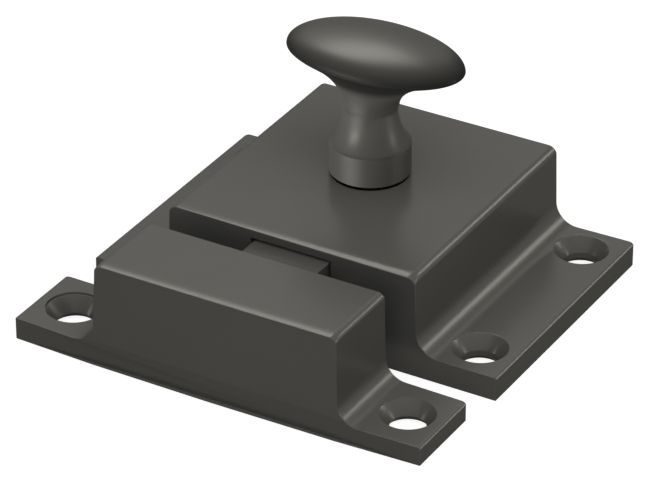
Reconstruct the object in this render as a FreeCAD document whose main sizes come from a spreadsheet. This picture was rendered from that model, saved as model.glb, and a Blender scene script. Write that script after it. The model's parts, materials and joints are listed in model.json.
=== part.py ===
import FreeCAD, Part
import math
import os
import Sketcher

# Cabinet lock: a cast case with a spring bolt worked by an oval turn knob, and its cast strike.
# Millimetres, +Z away from the door. The origin is the centre of the case's four screw holes,
# on the mounting plane. The strike stands in front of the case, towards -Y.

Vector = FreeCAD.Vector
Rotation = FreeCAD.Rotation
Placement = FreeCAD.Placement
Z_AXIS = Vector(0, 0, 1)
SAME = 0.02

doc = FreeCAD.newDocument("cabinet_lock")

# Driving dimensions

DRIVING = [
    # both castings
    ("foot_width", 57.15, "width over the screw flanges of the case and of the strike"),
    ("draft_angle", 1.65, "lean of the side walls, for drawing the casting"),
    ("root_radius", 3.0, "concave corner between a side wall and its flange"),
    ("shoulder_radius", 1.3, "round along the top side edges"),
    ("foot_corner_radius", 0.9, "plan corners of the flanges at their back ends"),
    ("screw_edge", 4.875, "screw holes to the ends of the flanges"),
    ("screw_throat_radius", 2.25, "straight part of a screw hole"),
    ("countersink_radius", 3.51, "mouth of a countersink"),
    ("countersink_angle", 82.0, "included angle of the countersink"),
    ("countersink_clear", 1.5, "room over a countersink, where it meets the root round"),
    # case
    ("case_depth", 37.0, "front face to back face"),
    ("case_height", 14.1, "mounting plane to the flat top"),
    ("case_top_width", 34.6, "block width at the top"),
    ("flange_thickness", 3.25, "case flange"),
    ("case_hole_front", 5.3, "front face to the front pair of holes"),
    ("case_hole_pitch", 27.05, "front pair to back pair of holes"),
    ("roof_thickness", 1.45, "top wall over the works"),
    ("front_wall", 2.2, "wall that the bolt comes through"),
    ("back_wall", 2.4, "wall that carries the spring"),
    ("cavity_width", 28.0, "inside width"),
    ("cavity_corner_radius", 1.5, "inside corners"),
    ("relief_width", 27.8, "cut under the front wall, at the mounting plane"),
    ("relief_height", 1.2, "cut under the front wall"),
    ("relief_slope", 1.9, "run of the relief's sloped ends"),
    # strike
    ("strike_gap", 5.3, "between the strike and the case"),
    ("strike_shift", 0.87, "how far the strike stands to the left of the case's centre line"),
    ("strike_depth", 11.7, "front face to back face"),
    ("strike_height", 14.25, "mounting plane to the flat top"),
    ("strike_top_width", 33.8, "block width at the top"),
    ("tab_thickness", 2.65, "strike flange"),
    ("strike_hole_front", 5.8, "front face to the screw holes"),
    ("strike_wall", 2.2, "front and back walls"),
    ("strike_side_wall", 3.0, "side walls at the top"),
    ("mouth_width", 13.8, "slot for the tongue in the strike's back wall"),
    ("mouth_headroom", 0.35, "over the tongue inside the strike"),
    # bolt
    ("tongue_width", 10.7, "the part that shows"),
    ("tongue_engagement", 4.0, "how far the tongue reaches into the strike"),
    ("bolt_thickness", 6.0, "tongue and tail"),
    ("nose_land", 1.3, "upright part of the nose above its bevel"),
    ("bolt_side_gap", 0.6, "each side of the tail frame in the cavity"),
    ("bar_thickness", 2.6, "back bar that the cam pushes"),
    ("headroom", 0.17, "over the bolt"),
    ("slot_side_gap", 0.2, "each side of the tongue in the front wall"),
    ("slot_floor_gap", 0.35, "under the tongue in the front wall"),
    ("stop_gap", 0.05, "bolt shoulder to the front wall at rest"),
    # turn knob and spindle
    ("knob_setback", 19.8, "case front to the knob's axis"),
    ("washer_thickness", 0.3, "dark washer under the knob"),
    ("washer_radius", 5.0, "dark washer under the knob"),
    ("knob_lift", 0.35, "case top to the knob's base"),
    ("knob_base_radius", 5.2, "turned base"),
    ("knob_base_height", 4.1, "up to the crease"),
    ("knob_base_edge", 0.25, "round at the bottom of the base"),
    ("neck_radius", 3.6, "narrowest place"),
    ("neck_height", 9.1, "base to the narrowest place"),
    ("head_height", 16.1, "base to the widest outline of the head"),
    ("head_length", 24.2, "along X"),
    ("head_width", 14.2, "along Y"),
    ("dome_height", 3.35, "above the widest outline"),
    ("neck_pull", 4.9, "how long the underside leaves the neck upright"),
    ("rim_pull", 0.45, "how tight the underside turns at the rim"),
    ("spindle_radius", 2.0, "round shank"),
    ("spindle_socket", 8.0, "depth of the spindle's hole in the knob"),
    ("spindle_square", 2.8, "side of the square that drives the cam"),
    ("pivot_radius", 1.3, "lower journal"),
    ("pivot_floor_gap", 0.25, "under the end of the lower journal"),
    ("running_gap", 0.05, "radial clearance of a turning fit"),
    ("press_gap", 0.02, "radial clearance of a fixed fit"),
    ("bush_radius", 3.0, "spindle bush in the case top"),
    ("bush_flange_radius", 3.35, "its flange under the case top"),
    ("bush_flange_thickness", 0.6, "its flange under the case top"),
    ("thrust_thickness", 0.4, "washer between bush and cam"),
    ("cam_thickness", 4.0, "two-lobed cam"),
    ("cam_washer_thickness", 0.5, "washer under the cam"),
    ("cam_washer_radius", 3.0, "washer under the cam"),
    ("clip_thickness", 0.6, "retaining clip"),
    ("clip_radius", 2.7, "outside of the retaining clip"),
    ("clip_groove_depth", 0.35, "groove in the lower journal"),
    ("end_float", 0.05, "between the pieces stacked on the spindle"),
    # cam
    ("lift_radius", 5.0, "lift of the bolt for one radian of the knob"),
    ("cam_face", 3.5, "axis to the cam's flat face"),
    ("cam_angle", 60.0, "turn of the knob that draws the bolt"),
    ("cam_gap", 0.1, "cam face to the bolt's back bar at rest"),
    ("cam_hub_radius", 4.0, "hub on the plain side"),
    ("cam_tip_land", 0.9, "blunt end of a lobe"),
    ("cam_sweep_gap", 0.35, "round the lobes inside the bolt's window"),
    # cover plate
    ("cover_thickness", 1.2, "plate that closes the case from below"),
    ("cover_side_lap", 4.0, "plate past each side of the cavity"),
    ("cover_edge_gap", 0.15, "plate to its recess"),
    ("cover_back_lap", 1.0, "plate past the cavity's back end"),
    ("cover_corner_radius", 1.2, "plan corners"),
    ("leg_thickness", 1.2, "turned-up legs that carry the bolt"),
    ("leg_side_gap", 0.5, "leg to the cavity wall"),
    ("leg_end_gap", 1.6, "leg to the ends of the cavity"),
    ("leg_gap", 0.08, "leg to the bolt"),
    ("cover_screw_radius", 1.0, "thread of the cover screws"),
    ("cover_screw_head", 1.9, "head radius of the cover screws"),
    ("cover_head_depth", 0.9, "countersunk head of the cover screws"),
    ("cover_screw_length", 5.0, "overall"),
    ("cover_screw_offset", 1.8, "side of the cavity to the cover screws"),
    ("cover_screw_inset", 3.6, "cover screws to the ends of the plate"),
    ("driver_slot_width", 0.5, "slot in a cover screw"),
    ("driver_slot_depth", 0.4, "slot in a cover screw"),
    ("pivot_bush_radius", 2.4, "lower bush in the cover plate"),
    ("pivot_flange_radius", 3.2, "its flange on the plate"),
    ("pivot_flange_thickness", 0.8, "its flange on the plate"),
    # bolt spring
    ("spring_radius", 2.25, "mean radius of the coil"),
    ("spring_wire", 0.45, "wire diameter"),
    ("spring_turns", 5.0, "turns"),
    ("spring_seat_depth", 0.6, "recess in the back wall"),
    ("spring_seat_gap", 0.35, "recess wall to the coil"),
    ("guide_radius", 1.5, "pin inside the spring"),
    ("guide_hold", 1.8, "pin in the bolt's back bar"),
    ("guide_stop_gap", 0.06, "pin end to the back wall with the bolt drawn"),
]

# Places and sizes that follow from them, as sheet formulas

WORKED_OUT = [
    ("foot_half", "size.foot_width / 2"),
    ("case_front", "-(size.case_hole_front + size.case_hole_pitch / 2)"),
    ("case_back", "case_front + size.case_depth"),
    ("case_top_half", "size.case_top_width / 2"),
    ("case_base_half", "case_top_half + (size.case_height - size.flange_thickness)"
                       " * tan(size.draft_angle * 1 deg)"),
    ("hole_half", "foot_half - size.screw_edge"),
    ("hole_half_pitch", "size.case_hole_pitch / 2"),
    ("countersink_depth", "(size.countersink_radius - size.screw_throat_radius)"
                          " / tan(size.countersink_angle / 2 * 1 deg)"),
    ("cavity_half", "size.cavity_width / 2"),
    ("cavity_front", "case_front + size.front_wall"),
    ("cavity_back", "case_back - size.back_wall"),
    ("cavity_top", "size.case_height - size.roof_thickness"),
    ("relief_half", "size.relief_width / 2"),
    ("relief_top_half", "relief_half - size.relief_slope"),
    ("strike_back", "case_front - size.strike_gap"),
    ("strike_front", "strike_back - size.strike_depth"),
    ("strike_hole_y", "strike_front + size.strike_hole_front"),
    ("strike_top_half", "size.strike_top_width / 2"),
    ("strike_base_half", "strike_top_half + (size.strike_height - size.tab_thickness)"
                         " * tan(size.draft_angle * 1 deg)"),
    ("strike_inside_half", "strike_top_half - size.strike_side_wall"),
    ("strike_inside_front", "strike_front + size.strike_wall"),
    ("strike_inside_back", "strike_back - size.strike_wall"),
    ("mouth_half", "size.mouth_width / 2"),
    ("bolt_top", "cavity_top - size.headroom"),
    ("bolt_bottom", "bolt_top - size.bolt_thickness"),
    ("bolt_middle", "bolt_top - size.bolt_thickness / 2"),
    ("mouth_top", "bolt_top + size.mouth_headroom"),
    ("tongue_half", "size.tongue_width / 2"),
    ("slot_half", "tongue_half + size.slot_side_gap"),
    ("slot_floor", "bolt_bottom - size.slot_floor_gap"),
    ("nose", "strike_back - size.tongue_engagement"),
    ("nose_edge", "bolt_top - size.nose_land"),
    ("bevel_end", "nose + size.bolt_thickness - size.nose_land"),
    ("shoulder", "cavity_front + size.stop_gap"),
    ("bolt_half", "cavity_half - size.bolt_side_gap"),
    ("axis_y", "case_front + size.knob_setback"),
    ("travel", "size.lift_radius * size.cam_angle * pi / 180"),
    ("cam_top_lift", "size.cam_face + travel"),
    ("cam_tip_reach", "sqrt(size.lift_radius * size.lift_radius + cam_top_lift * cam_top_lift)"),
    ("window_half", "cam_tip_reach + size.cam_sweep_gap"),
    ("cam_tip_x", "size.lift_radius * cos(size.cam_angle * 1 deg)"
                  " + cam_top_lift * sin(size.cam_angle * 1 deg)"),
    ("cam_tip_y", "-size.lift_radius * sin(size.cam_angle * 1 deg)"
                  " + cam_top_lift * cos(size.cam_angle * 1 deg)"),
    ("bar_front", "axis_y + size.cam_face + size.cam_gap"),
    ("bar_back", "bar_front + size.bar_thickness"),
    ("window_front", "axis_y - cam_tip_reach * sin(size.cam_angle * 1 deg) - travel"
                     " - size.cam_tip_land * cos(size.cam_angle * 1 deg) - size.cam_sweep_gap"),
    ("knob_base", "size.case_height + size.knob_lift"),
    ("washer_top", "size.case_height + size.washer_thickness"),
    ("base_edge_radius", "size.knob_base_radius - size.knob_base_edge"),
    ("base_edge_top", "knob_base + size.knob_base_edge"),
    ("crease", "knob_base + size.knob_base_height"),
    ("neck", "knob_base + size.neck_height"),
    ("rim", "knob_base + size.head_height"),
    ("head_rise", "size.head_height - size.neck_height"),
    ("head_half_length", "size.head_length / 2"),
    ("head_half_width", "size.head_width / 2"),
    ("flare_drop", "size.knob_base_radius - size.neck_radius"),
    ("flare_rise", "size.neck_height - size.knob_base_height"),
    ("flare_radius", "(flare_drop * flare_drop + flare_rise * flare_rise) / (2 * flare_drop)"),
    ("flare_centre", "size.neck_radius + flare_radius"),
    ("bush_bottom", "cavity_top - size.bush_flange_thickness"),
    ("thrust_top", "bush_bottom - size.end_float"),
    ("thrust_bottom", "thrust_top - size.thrust_thickness"),
    ("cam_top", "thrust_bottom - size.end_float"),
    ("cam_bottom", "cam_top - size.cam_thickness"),
    ("spindle_shoulder", "cam_top + size.press_gap"),
    ("square_length", "spindle_shoulder - cam_bottom"),
    ("square_half", "size.spindle_square / 2"),
    ("cam_hole_half", "square_half + size.press_gap"),
    ("cam_washer_top", "cam_bottom - size.end_float"),
    ("cam_washer_bottom", "cam_washer_top - size.cam_washer_thickness"),
    ("clip_top", "cam_washer_bottom - size.end_float"),
    ("clip_bottom", "clip_top - size.clip_thickness"),
    ("groove_top", "clip_top + size.press_gap"),
    ("groove_bottom", "clip_bottom - size.press_gap"),
    ("groove_radius", "size.pivot_radius - size.clip_groove_depth"),
    ("clip_bore", "groove_radius + size.press_gap"),
    ("bush_bore", "size.spindle_radius + size.running_gap"),
    ("pivot_bore", "size.pivot_radius + size.running_gap"),
    ("spindle_top", "knob_base + size.spindle_socket - size.stop_gap"),
    ("cover_half", "cavity_half + size.cover_side_lap"),
    ("recess_half", "cover_half + size.cover_edge_gap"),
    ("recess_back", "cavity_back + size.cover_back_lap"),
    ("cover_front", "cavity_front + size.cover_edge_gap"),
    ("cover_back", "recess_back - size.cover_edge_gap"),
    ("leg_outside", "cavity_half - size.leg_side_gap"),
    ("leg_inside", "leg_outside - size.leg_thickness"),
    ("leg_front", "cavity_front + size.leg_end_gap"),
    ("leg_back", "cavity_back - size.leg_end_gap"),
    ("leg_top", "bolt_bottom - size.leg_gap"),
    ("cover_screw_x", "cavity_half + size.cover_screw_offset"),
    ("cover_screw_front", "cover_front + size.cover_screw_inset"),
    ("cover_screw_back", "cover_back - size.cover_screw_inset"),
    ("pivot_flange_top", "size.cover_thickness + size.pivot_flange_thickness"),
    ("spring_seat", "cavity_back + size.spring_seat_depth"),
    ("guide_end", "spring_seat - travel - size.guide_stop_gap"),
    ("spring_height", "spring_seat - bar_back - size.spring_wire - 2 * size.press_gap"),
]

size = doc.addObject("Spreadsheet::Sheet", "size")
size.Label = "size"
for row, (name, value, note) in enumerate(DRIVING, start=1):
    size.set("A%d" % row, name)
    size.set("B%d" % row, repr(value))
    size.setAlias("B%d" % row, name)
    size.set("C%d" % row, note)
doc.recompute()

place = doc.addObject("Spreadsheet::Sheet", "place")
place.Label = "place"
for row, (name, formula) in enumerate(WORKED_OUT, start=1):
    place.set("A%d" % row, name)
    place.set("B%d" % row, "=" + formula)
    place.setAlias("B%d" % row, name)
doc.recompute()


def value(expression):
    """The number that a signed cell name such as -place.nose, or a plain number, stands for."""
    sign = 1.0
    if expression.startswith("-"):
        sign = -1.0
        expression = expression[1:]
    sheet, dot, cell = expression.partition(".")
    if sheet.isidentifier() and cell:
        return sign * float(doc.getObject(sheet).get(cell))
    return sign * float(expression)


# Helpers that build features bound to the sheets


def new_body(name):
    body = doc.addObject("PartDesign::Body", name)
    body.Label = name
    return body


def origin_plane(body, role):
    for item in body.Origin.OriginFeatures:
        if item.Role == role:
            return item
    raise ValueError(role)


def new_sketch(body, name, role, offset="0"):
    """An empty sketch on an origin plane of the body, moved along the plane's normal."""
    sketch = body.newObject("Sketcher::SketchObject", name)
    sketch.AttachmentSupport = [(origin_plane(body, role), "")]
    sketch.MapMode = "FlatFace"
    if offset != "0":
        sketch.setExpression("AttachmentOffset.Base.z", offset)
    return sketch


def fix_point(sketch, element, corner, across, up):
    """Ties one point of the sketch to the cells that give its two coordinates."""
    for kind, axis, expression in (("DistanceX", -2, across), ("DistanceY", -1, up)):
        if expression == "0":
            sketch.addConstraint(Sketcher.Constraint("PointOnObject", element, corner, axis))
            continue
        number = value(expression)
        at = sketch.addConstraint(Sketcher.Constraint(kind, -1, 1, element, corner, number))
        sketch.setExpression("Constraints[%d]" % at, expression)


def outline(body, name, role, corners, offset="0"):
    """A closed polygon whose corners are pairs of signed cell names."""
    sketch = new_sketch(body, name, role, offset)
    points = [Vector(value(across), value(up), 0) for across, up in corners]
    count = len(points)
    for index in range(count):
        sketch.addGeometry(Part.LineSegment(points[index], points[(index + 1) % count]), False)
    for index in range(count):
        after = (index + 1) % count
        sketch.addConstraint(Sketcher.Constraint("Coincident", index, 2, after, 1))
    for index, (across, up) in enumerate(corners):
        fix_point(sketch, index, 1, across, up)
    return sketch


def rectangle(body, name, role, left, right, low, high, offset="0"):
    return outline(body, name, role, [(left, low), (right, low), (right, high), (left, high)], offset)


def pad(body, name, sketch, length, backwards=False):
    feature = body.newObject("PartDesign::Pad", name)
    feature.Profile = sketch
    feature.setExpression("Length", length)
    feature.Reversed = backwards
    doc.recompute()
    return feature


def pocket(body, name, sketch, length, backwards=False):
    """A cut that has to take material away."""
    before = body.Shape.Volume
    feature = body.newObject("PartDesign::Pocket", name)
    feature.Profile = sketch
    feature.setExpression("Length", length)
    feature.Reversed = backwards
    doc.recompute()
    if body.Shape.Volume > before - 1e-6:
        raise RuntimeError(name + " cuts nothing")
    return feature


def round_edges(body, name, radius, chosen):
    """Rounds the edges whose middle point passes the test given as chosen."""
    tip = body.Tip
    names = []
    for index, edge in enumerate(tip.Shape.Edges, start=1):
        middle = edge.valueAt((edge.FirstParameter + edge.LastParameter) / 2)
        if chosen(middle, edge):
            names.append("Edge%d" % index)
    if not names:
        raise RuntimeError(name + " finds no edge")
    feature = body.newObject("PartDesign::Fillet", name)
    feature.Base = (tip, names)
    feature.setExpression("Radius", radius)
    doc.recompute()
    return feature


def near(first, second):
    return abs(first - second) < SAME


def along_y(edge):
    tangent = edge.tangentAt(edge.FirstParameter)
    return abs(tangent.y) > 0.999


def along_z(edge):
    tangent = edge.tangentAt(edge.FirstParameter)
    return abs(tangent.z) > 0.999


def turned(name, profile, across="0", along="place.axis_y"):
    """A piece turned on a lathe, from its half profile of radius and height, at its axis."""
    body = new_body(name)
    sketch = outline(body, name + "_profile", "XZ_Plane", profile)
    feature = body.newObject("PartDesign::Revolution", name + "_turning")
    feature.Profile = sketch
    feature.ReferenceAxis = (sketch, ["V_Axis"])
    feature.Angle = 360.0
    if across != "0":
        body.setExpression("Placement.Base.x", across)
    body.setExpression("Placement.Base.y", along)
    doc.recompute()
    return body


def round_tool(name, kind, across, along, height, sizes, rotation=None):
    """A cylinder or cone to cut with: its place and sizes are cell names."""
    tool = doc.addObject(kind, name)
    if rotation is not None:
        tool.Placement = Placement(Vector(0, 0, 0), rotation)
    for which, expression in zip("xyz", (across, along, height)):
        if expression != "0":
            tool.setExpression("Placement.Base." + which, expression)
    for which, expression in sizes.items():
        tool.setExpression(which, expression)
    return tool


def cut(name, base, tools):
    """The base piece with all the tools taken out of it, as one named sub-part."""
    union = tools[0]
    if len(tools) > 1:
        union = doc.addObject("Part::MultiFuse", name + "_tools")
        union.Shapes = tools
        doc.recompute()
    result = doc.addObject("Part::Cut", name)
    result.Base = base
    result.Tool = union
    result.Label = name
    doc.recompute()
    if result.Shape.Volume > base.Shape.Volume - 1e-6:
        raise RuntimeError(name + " loses nothing")
    return result


def countersunk_hole(name, across, along, thickness):
    """A straight throat through the flange, and the cone that the screw's head sinks into."""
    throat = round_tool(name + "_throat", "Part::Cylinder", across, along, "-1",
                        {"Radius": "size.screw_throat_radius", "Height": thickness + " + 2"})
    cone = round_tool(name + "_cone", "Part::Cone", across, along,
                      thickness + " - place.countersink_depth",
                      {"Radius1": "size.screw_throat_radius", "Radius2": "size.countersink_radius",
                       "Height": "place.countersink_depth"})
    mouth = round_tool(name + "_mouth", "Part::Cylinder", across, along, thickness,
                       {"Radius": "size.countersink_radius", "Height": "size.countersink_clear"})
    return [throat, cone, mouth]


# Castings: each is a block with a flange on both sides, flush with it at the front and back


def casting(name, top_half, base_half, height, thickness, front, depth):
    body = new_body(name)
    profile = [("-place.foot_half", "0"), ("place.foot_half", "0"),
               ("place.foot_half", thickness), (base_half, thickness),
               (top_half, height), ("-" + top_half, height),
               ("-" + base_half, thickness), ("-place.foot_half", thickness)]
    sketch = outline(body, name + "_section", "XZ_Plane", profile, "-" + front)
    pad(body, name + "_block", sketch, depth, backwards=True)
    back = value(front) + value(depth)
    foot = value(thickness)
    inner = value(base_half)
    crown = value(height)
    outer = value("place.foot_half")
    round_edges(body, name + "_roots", "size.root_radius",
                lambda at, edge: along_y(edge) and near(at.z, foot) and near(abs(at.x), inner))
    round_edges(body, name + "_shoulders", "size.shoulder_radius",
                lambda at, edge: along_y(edge) and near(at.z, crown))
    round_edges(body, name + "_foot_corners", "size.foot_corner_radius",
                lambda at, edge: along_z(edge) and near(at.y, back) and near(abs(at.x), outer))
    return body


COVER_SCREW_PLACES = [
    ("-place.cover_screw_x", "place.cover_screw_front"),
    ("place.cover_screw_x", "place.cover_screw_front"),
    ("-place.cover_screw_x", "place.cover_screw_back"),
    ("place.cover_screw_x", "place.cover_screw_back"),
]


def build_case():
    body = casting("case_casting", "place.case_top_half", "place.case_base_half",
                   "size.case_height", "size.flange_thickness", "place.case_front", "size.case_depth")
    cavity = rectangle(body, "cavity_outline", "XY_Plane", "-place.cavity_half", "place.cavity_half",
                       "place.cavity_front", "place.cavity_back")
    pocket(body, "cavity", cavity, "place.cavity_top", backwards=True)
    side = value("place.cavity_half")
    ends = (value("place.cavity_front"), value("place.cavity_back"))
    round_edges(body, "cavity_corners", "size.cavity_corner_radius",
                lambda at, edge: along_z(edge) and near(abs(at.x), side)
                and min(abs(at.y - end) for end in ends) < SAME)
    recess = rectangle(body, "recess_outline", "XY_Plane", "-place.recess_half", "place.recess_half",
                       "place.cavity_front", "place.recess_back")
    pocket(body, "cover_recess", recess, "size.cover_thickness", backwards=True)
    relief = outline(body, "relief_outline", "XZ_Plane",
                     [("-place.relief_half", "0"), ("place.relief_half", "0"),
                      ("place.relief_top_half", "size.relief_height"),
                      ("-place.relief_top_half", "size.relief_height")],
                     "-place.case_front")
    pocket(body, "front_relief", relief, "size.front_wall")
    slot = rectangle(body, "slot_outline", "XZ_Plane", "-place.slot_half", "place.slot_half",
                     "place.slot_floor", "place.cavity_top", "-place.case_front")
    pocket(body, "bolt_slot", slot, "size.front_wall")

    tools = []
    for side_name, across in (("left", "-place.hole_half"), ("right", "place.hole_half")):
        for end_name, along in (("front", "-place.hole_half_pitch"), ("back", "place.hole_half_pitch")):
            tools += countersunk_hole("case_%s_%s" % (end_name, side_name), across, along,
                                      "size.flange_thickness")
    tools.append(round_tool("bush_hole", "Part::Cylinder", "0", "place.axis_y",
                            "place.cavity_top - 1",
                            {"Radius": "size.bush_radius + size.press_gap",
                             "Height": "size.roof_thickness + 2"}))
    for index, (across, along) in enumerate(COVER_SCREW_PLACES, start=1):
        tools.append(round_tool("cover_thread_%d" % index, "Part::Cylinder", across, along, "0",
                                {"Radius": "size.cover_screw_radius + size.press_gap",
                                 "Height": "size.cover_screw_length + 0.6"}))
    seat = round_tool("spring_seat", "Part::Cylinder", "0", "place.spring_seat",
                      "place.bolt_middle",
                      {"Radius": "size.spring_radius + size.spring_wire / 2 + size.spring_seat_gap",
                       "Height": "size.spring_seat_depth + 1"},
                      Rotation(Vector(1, 0, 0), 90))
    tools.append(seat)
    return cut("latch_case", body, tools)


def build_strike():
    body = casting("strike_casting", "place.strike_top_half", "place.strike_base_half",
                   "size.strike_height", "size.tab_thickness", "place.strike_front",
                   "size.strike_depth")
    inside = rectangle(body, "strike_inside", "XY_Plane", "-place.strike_inside_half",
                       "place.strike_inside_half", "place.strike_inside_front",
                       "place.strike_inside_back")
    pocket(body, "strike_hollow", inside, "place.mouth_top", backwards=True)
    mouth = rectangle(body, "mouth_outline", "XZ_Plane", "-place.mouth_half", "place.mouth_half",
                      "0", "place.mouth_top", "-place.strike_back")
    pocket(body, "strike_mouth", mouth, "size.strike_wall", backwards=True)
    tools = []
    for side_name, across in (("left", "-place.hole_half"), ("right", "place.hole_half")):
        tools += countersunk_hole("strike_" + side_name, across, "place.strike_hole_y",
                                  "size.tab_thickness")
    strike = cut("strike", body, tools)
    strike.setExpression("Placement.Base.x", "-size.strike_shift")
    doc.recompute()
    return strike


# Cover plate with its legs, screws and lower bush




def build_cover():
    """A steel plate whose two long legs are turned up to carry the bolt's rails."""
    body = new_body("cover_pressing")
    plate = rectangle(body, "plate_outline", "XY_Plane", "-place.cover_half", "place.cover_half",
                      "place.cover_front", "place.cover_back")
    pad(body, "plate", plate, "size.cover_thickness")
    round_edges(body, "plate_corners", "size.cover_corner_radius",
                lambda at, edge: along_z(edge) and near(abs(at.x), value("place.cover_half")))
    for side_name, near_edge, far_edge in (
            ("left", "-place.leg_outside", "-place.leg_inside"),
            ("right", "place.leg_inside", "place.leg_outside")):
        leg = rectangle(body, side_name + "_leg_outline", "XY_Plane", near_edge, far_edge,
                        "place.leg_front", "place.leg_back")
        pad(body, side_name + "_leg", leg, "place.leg_top")
    tools = [round_tool("pivot_bush_hole", "Part::Cylinder", "0", "place.axis_y", "-1",
                        {"Radius": "size.pivot_bush_radius + size.press_gap",
                         "Height": "size.cover_thickness + 2"})]
    for index, (across, along) in enumerate(COVER_SCREW_PLACES, start=1):
        tools.append(round_tool("cover_throat_%d" % index, "Part::Cylinder", across, along, "-1",
                                {"Radius": "size.cover_screw_radius + size.press_gap",
                                 "Height": "size.cover_thickness + 2"}))
        tools.append(round_tool("cover_sink_%d" % index, "Part::Cone", across, along, "0",
                                {"Radius1": "size.cover_screw_head + size.press_gap",
                                 "Radius2": "size.cover_screw_radius + size.press_gap",
                                 "Height": "size.cover_head_depth"}))
    return cut("cover_plate", body, tools)


def build_cover_screws():
    screws = []
    for index, (across, along) in enumerate(COVER_SCREW_PLACES, start=1):
        name = "cover_screw_%d" % index
        blank = turned(name + "_blank",
                       [("0", "0"), ("size.cover_screw_head", "0"),
                        ("size.cover_screw_radius", "size.cover_head_depth"),
                        ("size.cover_screw_radius", "size.cover_screw_length"),
                        ("0", "size.cover_screw_length")], across, along)
        slot = doc.addObject("Part::Box", name + "_slot")
        slot.setExpression("Length", "size.cover_screw_head * 4")
        slot.setExpression("Width", "size.driver_slot_width")
        slot.setExpression("Height", "size.driver_slot_depth * 2")
        slot.setExpression("Placement.Base.x", across + " - size.cover_screw_head * 2")
        slot.setExpression("Placement.Base.y", along + " - size.driver_slot_width / 2")
        slot.setExpression("Placement.Base.z", "-size.driver_slot_depth")
        screws.append(cut(name, blank, [slot]))
    return screws


def ring(name, inner, outer, low, high):
    return turned(name, [(inner, low), (outer, low), (outer, high), (inner, high)])


def build_bushes_and_washers():
    bush = turned("spindle_bush",
                  [("place.bush_bore", "place.bush_bottom"),
                   ("size.bush_flange_radius", "place.bush_bottom"),
                   ("size.bush_flange_radius", "place.cavity_top"),
                   ("size.bush_radius", "place.cavity_top"),
                   ("size.bush_radius", "size.case_height"),
                   ("place.bush_bore", "size.case_height")])
    lower = turned("pivot_bush",
                   [("place.pivot_bore", "0"), ("size.pivot_bush_radius", "0"),
                    ("size.pivot_bush_radius", "size.cover_thickness"),
                    ("size.pivot_flange_radius", "size.cover_thickness"),
                    ("size.pivot_flange_radius", "place.pivot_flange_top"),
                    ("place.pivot_bore", "place.pivot_flange_top")])
    thrust = ring("thrust_washer", "place.bush_bore", "size.bush_flange_radius",
                  "place.thrust_bottom", "place.thrust_top")
    washer = ring("knob_washer", "place.bush_bore", "size.washer_radius",
                  "size.case_height", "place.washer_top")
    under = ring("cam_washer", "place.pivot_bore", "size.cam_washer_radius",
                 "place.cam_washer_bottom", "place.cam_washer_top")
    return [bush, lower, thrust, washer, under]


# Knob, spindle and cam


HEAD_SHARES = (0.0, 0.141, 0.282, 0.417, 0.553, 0.705, 1.0)


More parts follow.
